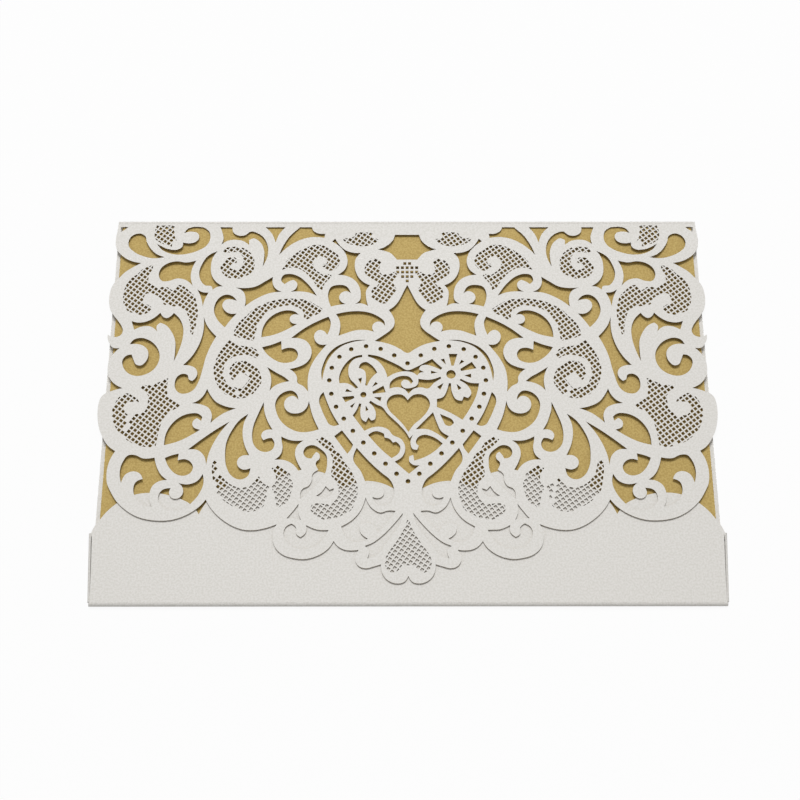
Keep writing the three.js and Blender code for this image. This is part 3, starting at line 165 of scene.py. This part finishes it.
LIGHTS = (("key", (-0.08, 1.1, 2.2), 0.9), ("fill", (0.5, -1.9, 1.3), 1.6))  # place and diameter in metres
FLOOR_SIZE = 6  # in metres
SEEN_WHITE = 0.92  # how much of what the camera sees of the floor is plain white: the rest shows the shadow
CAMERA_PLACE = -3.64, -181.05, 428.3  # from the middle of the card at the flap's height, in mm
CAMERA_TURN = 22.997, -0.136, -0.089  # in degrees
SENSOR = 36  # in mm
CLIP = 0.01, 10  # in metres


def linear(code):
    """The linear colour of an sRGB hex code such as #e6e3de."""
    parts = [int(code[i : i + 2], 16) / 255 for i in (1, 3, 5)]
    return [c / 12.92 if c <= 0.04045 else ((c + 0.055) / 1.055) ** 2.4 for c in parts] + [1.0]


def length_setting(name, description, default, low, high):
    """A length in mm that a user may change."""
    return bpy.props.FloatProperty(
        name=name, description=f"{description}, in mm", default=default, min=low, max=high
    )


def angle_setting(name, description, degrees):
    """An angle that a user may change."""
    return bpy.props.FloatProperty(
        name=name, description=description, default=math.radians(degrees), subtype="ANGLE"
    )


def colour_setting(name, description, code):
    """A colour that a user may change."""
    return bpy.props.FloatVectorProperty(
        name=name, description=description, default=linear(code), size=4, subtype="COLOR", min=0, max=1
    )


class LaceSettings(bpy.types.PropertyGroup):
    """Sizes of the cut-out work on the flap."""

    hole_side: length_setting("Lattice hole", "Side of one square hole", 0.95, 0.2, 2)
    hole_pitch: length_setting("Lattice pitch", "From one hole to the next", 1.37, 0.5, 4)
    lattice_turn: angle_setting("Lattice turn", "Slant of the rows", 35)
    rim_radius: length_setting("Rim hole radius", "Radius of the holes along the heart's rim", 0.72, 0.2, 2)
    field_margin: length_setting("Field margin", "How far a field reaches past its outline", 0.15, 0, 1)
    least_hole: bpy.props.FloatProperty(
        name="Least hole", description="Smallest cut hole that is kept, in mm2", default=0.1, min=0.01, max=1
    )
    window_top: length_setting("Window top", "No window reaches above this height", 124.4, 100, 127)
    curve_step: length_setting("Curve step", "Length of one edge along a cut", 0.45, 0.1, 3)
    corner: angle_setting("Corner", "A turn above this stays a sharp corner", 62)


class CoverSettings(bpy.types.PropertyGroup):
    """The cover's sheet, folds and colours."""

    paper: length_setting("Paper", "Thickness of the sheet", 0.3, 0.1, 1)
    top_fold: length_setting("Top fold", "How far from the top the flat flap begins", 1.2, 0.3, 4)
    dip: length_setting("Dip", "How far the flap bends down to its pressed fold", 0.9, 0, 1.2)
    dip_reach: length_setting("Dip reach", "How far below the fold the bend begins", 14, 4, 40)
    crease: length_setting("Top crease", "Outside radius of the pressed top fold", 0.34, 0.3, 1.2)
    bottom_fold: length_setting("Bottom fold", "Outside radius of the bottom fold", 0.9, 0.3, 4)
    side_fold: length_setting("Side fold", "Outside radius of the pocket's side folds", 0.75, 0.3, 4)
    tab: length_setting("Glue tab", "Reach of a glue tab", 8, 1, 30)
    pocket_corner: angle_setting("Pocket corner", "A turn of the pocket's edge above this stays sharp", 30)
    fold_steps: bpy.props.IntProperty(
        name="Fold steps", description="Edges round one fold", default=16, min=4, max=64
    )
    pearl: colour_setting("Pearl", "Colour of the sheet", "#e9e6e1")
    fleck: colour_setting("Fleck", "Colour of its darker flecks", "#dedbd4")
    # Toasted fibre painted darker brown than toasting gives, so the cut also carries painted shade
    cut_edge: colour_setting("Cut edge", "Colour of the cut", "#8f7a58")


class InsertSettings(bpy.types.PropertyGroup):
    """Colours of the insert card."""

    gold: colour_setting("Gold", "Colour of the card", "#b79f5d")
    dark_gold: colour_setting("Dark gold", "Colour between the flakes", "#a68c4b")


class StudioSettings(bpy.types.PropertyGroup):
    """Camera and lights."""

    lens: bpy.props.FloatProperty(
        name="Lens", description="Focal length", default=68.69, min=10, max=200, unit="CAMERA"
    )
    key_power: bpy.props.FloatProperty(
        name="Key light", description="Power of the soft key", default=35.5, min=0, unit="POWER"
    )
    fill_power: bpy.props.FloatProperty(
        name="Fill light", description="Power of the front fill", default=2.0, min=0, unit="POWER"
    )
    room_light: bpy.props.FloatProperty(
        name="Room light", description="Strength of the room's light", default=0.29, min=0, max=1
    )


def live(sockets, name):
    """The socket of that name that the node's settings have switched on."""
    return next(s for s in sockets if s.name == name and s.enabled)


def add_node(tree, kind, inputs=None, **settings):
    """Adds one node. inputs maps a socket's name or number to a value or to another node's output."""
    made = tree.nodes.new(kind)
    for name, value in settings.items():
        setattr(made, name, value)
    for key, value in (inputs or {}).items():
        socket = live(made.inputs, key) if isinstance(key, str) else made.inputs[key]
        if isinstance(value, bpy.types.NodeSocket):
            tree.links.new(value, socket)
        else:
            socket.default_value = value
    return made


def shared(name, make, *values, **settings):
    """The data-block of that name, which make() gives the first time."""
    for store in (bpy.data.materials, bpy.data.node_groups):
        if name in store:
            return store[name]
    return make(name, *values, **settings)


def plain_material(name, colour, roughness):
    """A matt material of one colour."""
    material = bpy.data.materials.new(name)
    material.use_nodes = True
    shader = material.node_tree.nodes["Principled BSDF"]
    shader.inputs["Base Color"].default_value = colour
    shader.inputs["Roughness"].default_value = roughness
    return material


def pearl_material(name, light, dark, grain, roughness, metallic):
    """Card with a coat of mica pigment: its flakes catch the light one by one, as a fine grain in two tones."""
    material = plain_material(name, light, roughness)
    tree = material.node_tree
    shader = tree.nodes["Principled BSDF"]
    place = add_node(tree, "ShaderNodeTexCoord").outputs["Object"]
    noise = {"Vector": place, "Scale": 1 / (grain * MM), "Detail": 2.0}
    flakes = add_node(tree, "ShaderNodeTexNoise", noise).outputs["Fac"]
    low, high = GRAIN_TONES
    spread = add_node(tree, "ShaderNodeMapRange", {"Value": flakes, "From Min": low, "From Max": high})
    tones = {"Factor": live(spread.outputs, "Result"), "A": dark, "B": light}
    tone = add_node(tree, "ShaderNodeMix", tones, data_type="RGBA")
    relief = add_node(tree, "ShaderNodeBump", {"Height": flakes, "Distance": GRAIN_RELIEF * MM})
    tree.links.new(live(tone.outputs, "Result"), shader.inputs["Base Color"])
    tree.links.new(relief.outputs["Normal"], shader.inputs["Normal"])
    shader.inputs["Metallic"].default_value = metallic
    return material


def cover_materials(cover):
    """The cover's face and its cut."""
    # Ivory cardstock of 280 to 300 g/m2, coated with pearl pigment on both sides: warm white and half matt,
    # with slightly darker flecks where the flakes turn away.
    pearl = cover.pearl, cover.fleck, PEARL_GRAIN
    face = shared("ivory_pearl_cardstock", pearl_material, *pearl, roughness=0.5, metallic=0.0)
    # Bare paper fibre that the laser has toasted, matt brown, painted darker than the toasting alone: the thin
    # dark line along each cut is partly toasting and partly painted shade from the gap beneath the sheet.
    edge = shared("laser_cut_edge", plain_material, cover.cut_edge, roughness=0.8)
    return face, edge


def flat_outlines(node, height):
    """Closed outlines in mm of the CAD node's flat face that looks up at that height, as lists of 2D points."""
    work = bmesh.new()
    work.from_mesh(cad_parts[node].data)
    bmesh.ops.remove_doubles(work, verts=work.verts, dist=WELD * MM)
    top = {f for f in work.faces if all(abs(v.co.z / MM - height) < LEVEL for v in f.verts)}
    follows = {}
    for face in top:
        for corner in face.loops:
            if sum(f in top for f in corner.edge.link_faces) == 1:
                follows[corner.vert] = corner.link_loop_next.vert
    outlines = []
    while follows:
        start, vert = next(iter(follows.items()))
        points = [start]
        del follows[start]
        while vert is not start:
            points.append(vert)
            vert = follows.pop(vert)
        outlines.append([Vector((v.co.x, v.co.y)) / MM for v in points])
    work.free()
    return outlines


def rounded(points, corner, step):
    """The closed outline as a smooth curve through its points. It keeps a corner where it turns by more."""
    count = len(points)
    edges = [points[(i + 1) % count] - p for i, p in enumerate(points)]
    tangents = []
    for i, ahead in enumerate(edges):
        back = edges[i - 1]
        short, long = sorted((back.length, ahead.length))
        turn = back.angle(ahead)
        sharp = long > STRAIGHT or turn > corner or (long > LONG_EDGE * short and turn > corner / 2)
        through = back / back.length_squared + ahead / ahead.length_squared
        tangents.append(None if sharp else through.normalized())
    curve = []
    for i, edge in enumerate(edges):
        first, second = tangents[i], tangents[(i + 1) % count]
        if first is None and second is None:
            curve.append(points[i])
            continue
        # Beside a corner the curve has no bend of its own at that end.
        end = second * edge.length if second else None
        start = first * edge.length if first else 1.5 * edge - 0.5 * end
        end = end if second else 1.5 * edge - 0.5 * start
        steps = max(1, round(edge.length / step))
        for k in range(steps):
            s = k / steps
            along = 3 * s**2 - 2 * s**3
            curve.append(points[i] + along * edge + (s**3 - 2 * s**2 + s) * start + (s**3 - s**2) * end)
    return curve


def area(points):
    """Signed area of a closed outline."""
    return sum(p.cross(q) for p, q in zip(points, points[1:] + points[:1])) / 2


def clipped(points, axis, limit, sign):
    """The part of a closed outline where sign times its coordinate stays under sign times limit."""
    kept = []
    for p, q in zip(points, points[1:] + points[:1]):
        a, b = sign * (limit - p[axis]), sign * (limit - q[axis])
        if a >= 0:
            kept.append(p)
        if (a > 0 > b) or (a < 0 < b):
            kept.append(p.lerp(q, a / (a - b)))
    return kept


def turned(points, angle):
    """The points turned about the origin."""
    cos, sin = math.cos(angle), math.sin(angle)
    return [Vector((cos * p.x - sin * p.y, sin * p.x + cos * p.y)) for p in points]


def widened(points, reach):
    """The closed outline moved outwards by reach."""
    outwards = math.copysign(reach, area(points))
    ways = [(q - p).normalized() for p, q in zip(points, points[1:] + points[:1])]
    around = zip(points, ways[-1:] + ways, ways)
    return [p + outwards * Vector((a.y + b.y, -a.x - b.x)) / 2 for p, a, b in around]


def lattice(field, lace):
    """Square holes over a field: the centres of the whole ones, and the outlines of those its edge cuts."""
    side, pitch, turn = lace.hole_side, lace.hole_pitch, lace.lattice_turn
    upright = turned(field, -turn)
    lows = [min(p[k] for p in upright) for k in (0, 1)]
    highs = [max(p[k] for p in upright) for k in (0, 1)]
    whole, cut = [], []
    for i in range(math.floor(lows[0] / pitch), math.ceil(highs[0] / pitch) + 1):
        column = clipped(clipped(upright, 0, i * pitch + side / 2, 1), 0, i * pitch - side / 2, -1)
        if len(column) < 3:
            continue
        for j in range(math.floor(lows[1] / pitch), math.ceil(highs[1] / pitch) + 1):
            hole = clipped(clipped(column, 1, j * pitch + side / 2, 1), 1, j * pitch - side / 2, -1)
            size = abs(area(hole)) if len(hole) > 2 else 0
            if size > WHOLE * side * side:
                whole += turned([Vector((i * pitch, j * pitch))], turn)
            elif size > lace.least_hole:
                clean = [p for p, q in zip(hole, hole[1:] + hole[:1]) if (p - q).length > SAME_POINT]
                cut.append(turned(clean, turn))
    return whole, cut


def pairs(numbers):
    """A flat list of numbers as 2D points."""
    return [Vector(p) for p in zip(numbers[::2], numbers[1::2])]


def on_card(point, side=1):
    """A point given as distance from the centre line and height above the bottom fold, in the frame, in mm."""
    return Vector((-side * point.x, point.y - HEIGHT / 2))


def add_piece(name, data):
    """Adds an object with that data at the origin."""
    piece = bpy.data.objects.new(name, data)
    bpy.context.scene.collection.objects.link(piece)
    return piece


def skeleton(name, outlines, marks=()):
    """A piece that holds closed outlines as edges and marked points. marks are (point, mark, turn)."""
    verts = [(*(p * MM), 0) for outline in outlines for p in outline]
    edges = []
    for outline in outlines:
        base = len(edges)
        edges += [(base + i, base + (i + 1) % len(outline)) for i in range(len(outline))]
    first_mark = len(verts)
    verts += [(*(p * MM), 0) for p, _, _ in marks]
    mesh = bpy.data.meshes.new(name)
    mesh.from_pydata(verts, edges, [])
    for column, (key, kind) in enumerate((("mark", "INT"), ("turn", "FLOAT")), start=1):
        values = [0] * first_mark + [m[column] for m in marks]
        mesh.attributes.new(key, kind, "POINT").data.foreach_set("value", values)
    return add_piece(name, mesh)


CUT_INPUTS = (
    ("Geometry", "NodeSocketGeometry"),
    ("Thickness", "NodeSocketFloat"),
    ("Underside", "NodeSocketFloat"),
    ("Lattice hole", "NodeSocketFloat"),
    ("Rim hole radius", "NodeSocketFloat"),
    ("Sheet material", "NodeSocketMaterial"),
    ("Cut and shade material", "NodeSocketMaterial"),
)


def cut_sheet_tree(name):
    """Fills outlines to a sheet, less a hole at each marked point, and gives it its thickness."""
    tree = bpy.data.node_groups.new(name, "GeometryNodeTree")
    for socket, kind in CUT_INPUTS:
        tree.interface.new_socket(name=socket, in_out="INPUT", socket_type=kind)
    tree.interface.new_socket(name="Geometry", in_out="OUTPUT", socket_type="NodeSocketGeometry")
    given = add_node(tree, "NodeGroupInput").outputs
    outlines = add_node(tree, "GeometryNodeMeshToCurve", {"Mesh": given["Geometry"]})
    mark = add_node(tree, "GeometryNodeInputNamedAttribute", {"Name": "mark"}, data_type="INT")
    turn = add_node(tree, "GeometryNodeInputNamedAttribute", {"Name": "turn"}, data_type="FLOAT")
    rotation = add_node(tree, "ShaderNodeCombineXYZ", {"Z": live(turn.outputs, "Attribute")})
    side, radius = given["Lattice hole"], given["Rim hole radius"]
    square = add_node(tree, "GeometryNodeCurvePrimitiveQuadrilateral", {"Width": side, "Height": side})
    disc = add_node(tree, "GeometryNodeCurvePrimitiveCircle", {"Resolution": RIM_HOLE_SIDES, "Radius": radius})
    holes = []
    for kind, shape in ((LATTICE_HOLE, square), (RIM_HOLE, disc)):
        same = {"A": live(mark.outputs, "Attribute"), "B": kind}
        chosen = add_node(tree, "FunctionNodeCompare", same, data_type="INT", operation="EQUAL")
        placing = {
            "Points": given["Geometry"],
            "Selection": chosen.outputs["Result"],
            "Instance": shape.outputs["Curve"],
            "Rotation": rotation.outputs["Vector"],
        }
        holes.append(add_node(tree, "GeometryNodeInstanceOnPoints", placing))
    curves = add_node(tree, "GeometryNodeJoinGeometry")
    for part in (outlines.outputs["Curve"], holes[0].outputs["Instances"], holes[1].outputs["Instances"]):
        tree.links.new(part, curves.inputs[0])
    real = add_node(tree, "GeometryNodeRealizeInstances", {"Geometry": curves.outputs[0]})
    fill = add_node(tree, "GeometryNodeFillCurve", {"Curve": real.outputs[0]}, mode="TRIANGLES")
    filled = fill.outputs["Mesh"]
    rise = {"Mesh": filled, "Offset Scale": given["Thickness"], "Individual": False}
    raised = add_node(tree, "GeometryNodeExtrudeMesh", rise, mode="FACES").outputs
    underside = add_node(tree, "GeometryNodeFlipFaces", {"Mesh": filled})
    paint = {"Geometry": raised["Mesh"], "Selection": raised["Side"], "Material": given["Cut and shade material"]}
    cut = add_node(tree, "GeometryNodeSetMaterial", paint)
    paint = {"Geometry": cut.outputs[0], "Selection": raised["Top"], "Material": given["Sheet material"]}
    top = add_node(tree, "GeometryNodeSetMaterial", paint)
    paint = {"Geometry": underside.outputs[0], "Material": given["Sheet material"]}
    bottom = add_node(tree, "GeometryNodeSetMaterial", paint)
    closed = add_node(tree, "GeometryNodeJoinGeometry")
    for part in (top, bottom):
        tree.links.new(part.outputs[0], closed.inputs[0])
    merge = {"Geometry": closed.outputs[0], "Distance": WELD * MM}
    merged = add_node(tree, "GeometryNodeMergeByDistance", merge)
    lift = add_node(tree, "ShaderNodeCombineXYZ", {"Z": given["Underside"]})
    move = {"Geometry": merged.outputs[0], "Translation": lift.outputs["Vector"]}
    placed = add_node(tree, "GeometryNodeTransform", move)
    add_node(tree, "NodeGroupOutput", {"Geometry": placed.outputs[0]})
    return tree


def cut_sheet(piece, top, cover, lace):
    """Turns a skeleton into a sheet whose face is at that height, as the piece's plain mesh."""
    tree = shared("cut_sheet", cut_sheet_tree)
    run = piece.modifiers.new("cut_sheet", "NODES")
    run.node_group = tree
    sheet, cut = cover_materials(cover)
    values = {
        "Thickness": cover.paper * MM,
        "Underside": (top - cover.paper) * MM,
        "Lattice hole": lace.hole_side * MM,
        "Rim hole radius": lace.rim_radius * MM,
        "Sheet material": sheet,
        "Cut and shade material": cut,
    }
    for socket in tree.interface.items_tree:
        if socket.in_out == "INPUT" and socket.name in values:
            run[socket.identifier] = values[socket.name]
    bpy.context.view_layer.update()
    graph = bpy.context.evaluated_depsgraph_get()
    mesh = bpy.data.meshes.new_from_object(piece.evaluated_get(graph))
    piece.modifiers.clear()
    piece.data = mesh


def dress_cover(piece):
    """The piece rides on the card and stands for the CAD cover, which it hides."""
    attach(piece, "root")
    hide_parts(COVER)


def dipped(place, cover):
    """A place of the flat flap, in mm, after the flap's bend down towards its pressed top fold."""
    drop = cover.dip * max(0, (place.y - HEIGHT / 2) / cover.dip_reach + 1) ** 2
    return place + Vector((0, LEAN * drop, -drop))


def bend(mesh, cover):
    """Bends the flat flap along lines that run beside its fold."""
    work = bmesh.new()
    work.from_mesh(mesh)
    for k in range(BEND_LINES):
        line = HEIGHT / 2 - cover.dip_reach * (1 - k / BEND_LINES)
        parts = work.verts[:] + work.edges[:] + work.faces[:]
        bmesh.ops.bisect_plane(work, geom=parts, plane_co=(0, line * MM, 0), plane_no=(0, 1, 0))
    for vert in work.verts:
        vert.co = dipped(vert.co / MM, cover) * MM
    work.to_mesh(mesh)
    work.free()


class CARD_OT_lace_flap(bpy.types.Operator):
    """Cuts the lace flap: the windows of the CAD cover, rounded, with the fine lattice and the rim holes"""

    bl_idname = "card.lace_flap"
    bl_label = "Lace flap"

    def execute(self, context):
        lace, cover = context.scene.card_lace, context.scene.card_cover
        outlines, marks = [], []
        for points in flat_outlines(COVER, FLAP_TOP):
            corners, size = len(points), abs(area(points))
            if corners == COARSE_HOLE[0] and size < COARSE_HOLE[1]:
                continue  # the fine lattice replaces it
            if corners == RIM_MARK[0] and size < RIM_MARK[1]:
                marks.append((sum(points, Vector((0, 0))) / corners, RIM_HOLE, 0))
                continue
            if size < FLAP_AREA:
                points = clipped(points, 1, lace.window_top - HEIGHT / 2, 1)
            outlines.append(rounded(points, lace.corner, lace.curve_step))
        half = pairs(CENTRE_FIELD_HALF)
        centre = half + [Vector((-p.x, p.y)) for p in reversed(half) if p.x > 0]
        fields = [(pairs(field), (1, -1)) for field in LATTICE_FIELDS] + [(centre, (1,))]
        for field, sides in fields:
            edge = widened(rounded(field, lace.corner, 2 * lace.curve_step), lace.field_margin)
            whole, cut = lattice(edge, lace)
            for side in sides:
                marks += [(on_card(p, side), LATTICE_HOLE, -side * lace.lattice_turn) for p in whole]
                outlines += [[on_card(p, side) for p in hole] for hole in cut]
        for height, distances in BOW_ROWS:
            for x in {s * d for d in distances for s in (1, -1)}:
                marks.append((on_card(Vector((x, height))), LATTICE_HOLE, 0))
        piece = skeleton("lace_flap", outlines, marks)
        cut_sheet(piece, FLAP_TOP, cover, lace)
        bend(piece.data, cover)
        dress_cover(piece)
        return {"FINISHED"}


class CARD_OT_pocket(bpy.types.Operator):
    """Cuts the pocket panel with its scalloped top edge"""

    bl_idname = "card.pocket"
    bl_label = "Pocket"

    def execute(self, context):
        lace, cover = context.scene.card_lace, context.scene.card_cover
        top = 2 * cover.bottom_fold
        outlines = [rounded(p, cover.pocket_corner, lace.curve_step) for p in flat_outlines(COVER, top)]
        piece = skeleton("scalloped_pocket", outlines)
        cut_sheet(piece, top, cover, lace)
        dress_cover(piece)
        return {"FINISHED"}


def arc(centre, radius, start, end, steps):
    """Points on an arc, angles in degrees."""
    angles = [math.radians(start + (end - start) * k / steps) for k in range(steps + 1)]
    return [Vector((centre[0] + radius * math.cos(a), centre[1] + radius * math.sin(a))) for a in angles]


def both_sides(middle, reach):
    """A closed band round an open line: the line moved to its one side, then back along its other side."""
    ways = [q - p for p, q in zip(middle, middle[1:])]
    ways = [ways[0]] + [(a.normalized() + b.normalized()) for a, b in zip(ways, ways[1:])] + [ways[-1]]
    offsets = [Vector((w.y, -w.x)).normalized() * reach for w in ways]
    return [p + o for p, o in zip(middle, offsets)] + [p - o for p, o in zip(middle, offsets)][::-1]


def extruded(work, near, far):
    """Joins two like rings of 3D points, in mm, to a closed solid."""
    rings = [[work.verts.new(Vector(p) * MM) for p in ring] for ring in (near, far)]
    count = len(near)
    for i in range(count):
        k = (i + 1) % count
        work.faces.new((rings[0][i], rings[0][k], rings[1][k], rings[1][i]))
    half = count // 2
    for ring in rings:  # the profile is a band, so its ends close in quads from one side to the other
        for i in range(half - 1):
            work.faces.new((ring[i], ring[i + 1], ring[count - 2 - i], ring[count - 1 - i]))


class CARD_OT_back_and_folds(bpy.types.Operator):
    """Builds the back panel, the rounded top, bottom and side folds and the glue tabs"""

    bl_idname = "card.back_and_folds"
    bl_label = "Back and folds"

    def execute(self, context):
        cover = context.scene.card_cover
        half_width = self.half_width()
        work = bmesh.new()
        band = self.back_profile(cover)
        extruded(work, [(-half_width, p.x, p.y) for p in band], [(half_width, p.x, p.y) for p in band])
        band = self.side_profile(cover)
        ends = self.side_fold_ends(cover, half_width)
        for side in (1, -1):
            extruded(work, *([(side * (lean + p.x), height, p.y) for p in band] for lean, height in ends))
        bmesh.ops.recalc_face_normals(work, faces=work.faces)
        mesh = bpy.data.meshes.new("back_and_folds")
        work.to_mesh(mesh)
        work.free()
        mesh.shade_smooth()
        mesh.set_sharp_from_angle(angle=math.radians(SHARP_TURN))
        mesh.materials.append(cover_materials(cover)[0])
        dress_cover(add_piece("back_and_folds", mesh))
        return {"FINISHED"}

    def back_profile(self, cover):
        """The section of the bottom fold, the back panel and the top fold, as a closed band in Y and Z."""
        top, paper, steps = HEIGHT / 2, cover.paper, cover.fold_steps
        bottom = (cover.bottom_fold - top, cover.bottom_fold)
        middle = arc(bottom, cover.bottom_fold - paper / 2, 90, 270, steps)
        middle += [Vector((top - inwards, z)) for inwards, z in RISE]
        crease = (top - cover.crease, FLAP_TOP - cover.dip - cover.crease)
        middle += arc(crease, cover.crease - paper / 2, -90, 90, steps)
        middle.append(dipped(Vector((0, top - cover.top_fold, FLAP_TOP - paper / 2)), cover).yz)
        return both_sides(middle, paper / 2)

    def side_profile(self, cover):
        """The section of a glue tab and the pocket's side fold, as a closed band in X and Z."""
        paper, steps = cover.paper, cover.fold_steps
        centre = (0, paper + cover.side_fold)
        outside = [Vector((-cover.tab, paper))] + arc(centre, cover.side_fold, -90, 90, steps)
        inside = [Vector((-cover.tab, 2 * paper))] + arc(centre, cover.side_fold - paper, -90, 90, steps)
        return outside + inside[::-1]

    def half_width(self):
        """Half the back panel's width in mm: the reach of the CAD cover's face on the table."""
        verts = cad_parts[COVER].data.vertices
        return max(abs(v.co.x) for v in verts if v.co.z < LEVEL * MM) / MM

    def side_fold_ends(self, cover, half_width):
        """Where the pocket's side fold begins and ends: its distance from the centre line and its Y, in mm."""
        panel = max(flat_outlines(COVER, 2 * cover.bottom_fold), key=lambda points: abs(area(points)))
        right = sorted((p for p in panel if p.x > half_width - SIDE_BAND), key=lambda p: p.y)
        return [(p.x, p.y) for p in (right[1], max(right, key=lambda p: p.x))]


class CARD_OT_insert_finish(bpy.types.Operator):
    """Gives the insert card its gold finish"""

    bl_idname = "card.insert_finish"
    bl_label = "Insert finish"

    def execute(self, context):
        insert = context.scene.card_insert
        # Cardstock of about 280 g/m2 with a coat of gold mica pigment: a soft metal sheen over ochre, which is
        # darker between the flakes.
        gold = insert.gold, insert.dark_gold, GOLD_GRAIN
        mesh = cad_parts[INSERT].data
        mesh.materials.clear()
        face = shared("gold_pearl_cardstock", pearl_material, *gold, roughness=0.62, metallic=0.25)
        mesh.materials.append(face)
        return {"FINISHED"}


class CARD_OT_studio(bpy.types.Operator):
    """Sets the floor, the soft lights, the room and the camera"""

    bl_idname = "card.studio"
    bl_label = "Studio"

    def execute(self, context):
        scene, studio = context.scene, context.scene.card_studio
        scene.view_settings.view_transform = "Standard"
        bpy.ops.mesh.primitive_plane_add(size=FLOOR_SIZE)
        floor = context.object
        floor.name = "floor"
        floor.data.materials.append(self.floor_material())
        for (name, place, size), power in zip(LIGHTS, (studio.key_power, studio.fill_power)):
            light = bpy.data.lights.new(name, "AREA")
            light.shape, light.size, light.energy = "DISK", size, power
            lamp = add_piece(name, light)
            lamp.location = place
            lamp.rotation_euler = (-lamp.location).to_track_quat("-Z", "Y").to_euler()
        scene.world = self.room(studio)
        camera = bpy.data.cameras.new("camera")
        camera.lens, camera.sensor_width = studio.lens, SENSOR
        camera.clip_start, camera.clip_end = CLIP
        view = add_piece("camera", camera)
        view.location = (Vector((0, 0, FLAP_TOP)) + Vector(CAMERA_PLACE)) * MM
        view.rotation_euler = Euler([math.radians(a) for a in CAMERA_TURN])
        scene.camera = view
        return {"FINISHED"}

    def room(self, studio):
        """A room that lights the card softly and is white where the camera or a reflection shows it."""
        world = bpy.data.worlds.new("room")
        world.use_nodes = True
        tree = world.node_tree
        rays = add_node(tree, "ShaderNodeLightPath").outputs
        seen = {0: rays["Is Camera Ray"], 1: rays["Is Glossy Ray"]}
        shown = add_node(tree, "ShaderNodeMath", seen, operation="MAXIMUM")
        strengths = {"Value": shown.outputs[0], "To Min": studio.room_light, "To Max": 1.0}
        strength = add_node(tree, "ShaderNodeMapRange", strengths)
        background = tree.nodes["Background"]
        background.inputs["Color"].default_value = linear("#ffffff")
        tree.links.new(strength.outputs["Result"], background.inputs["Strength"])
        return world

    def floor_material(self):
        """White painted board, matt: to the camera it is nearly plain white, with the card's shadow."""
        material = plain_material("white_board", linear("#f7f7f7"), roughness=0.9)
        tree = material.node_tree
        board = tree.nodes["Principled BSDF"]
        glow = add_node(tree, "ShaderNodeEmission", {"Color": linear("#ffffff"), "Strength": 1.0})
        rays = add_node(tree, "ShaderNodeLightPath").outputs
        seen = {0: rays["Is Camera Ray"], 1: SEEN_WHITE}
        share = add_node(tree, "ShaderNodeMath", seen, operation="MULTIPLY")
        shaders = {0: share.outputs[0], 1: board.outputs[0], 2: glow.outputs[0]}
        both = add_node(tree, "ShaderNodeMixShader", shaders)
        tree.links.new(both.outputs[0], tree.nodes["Material Output"].inputs["Surface"])
        return material


class CARD_PT_panel(bpy.types.Panel):
    """Lists the card's pieces and its sizes"""

    bl_label = "Invitation card"
    bl_space_type = "VIEW_3D"
    bl_region_type = "UI"
    bl_category = "Card"

    def draw(self, context):
        for operator in OPERATORS:
            self.layout.operator(operator.bl_idname)
        for name in SETTINGS:
            group = getattr(context.scene, name)
            box = self.layout.box()
            for key in group.bl_rna.properties.keys():
                if key not in ("rna_type", "name"):
                    box.prop(group, key)


SETTINGS = {
    "card_lace": LaceSettings,
    "card_cover": CoverSettings,
    "card_insert": InsertSettings,
    "card_studio": StudioSettings,
}
OPERATORS = (CARD_OT_back_and_folds, CARD_OT_pocket, CARD_OT_lace_flap, CARD_OT_insert_finish, CARD_OT_studio)


def register():
    for cls in (*SETTINGS.values(), *OPERATORS, CARD_PT_panel):
        bpy.utils.register_class(cls)
    for name, cls in SETTINGS.items():
        setattr(bpy.types.Scene, name, bpy.props.PointerProperty(type=cls))


def unregister():
    for name in SETTINGS:
        delattr(bpy.types.Scene, name)
    for cls in (CARD_PT_panel, *reversed(OPERATORS), *reversed(SETTINGS.values())):
        bpy.utils.unregister_class(cls)


def main():
    register()
    for operator in OPERATORS:
        group, name = operator.bl_idname.split(".")
        getattr(getattr(bpy.ops, group), name)()


if __name__ == "__main__":
    main()
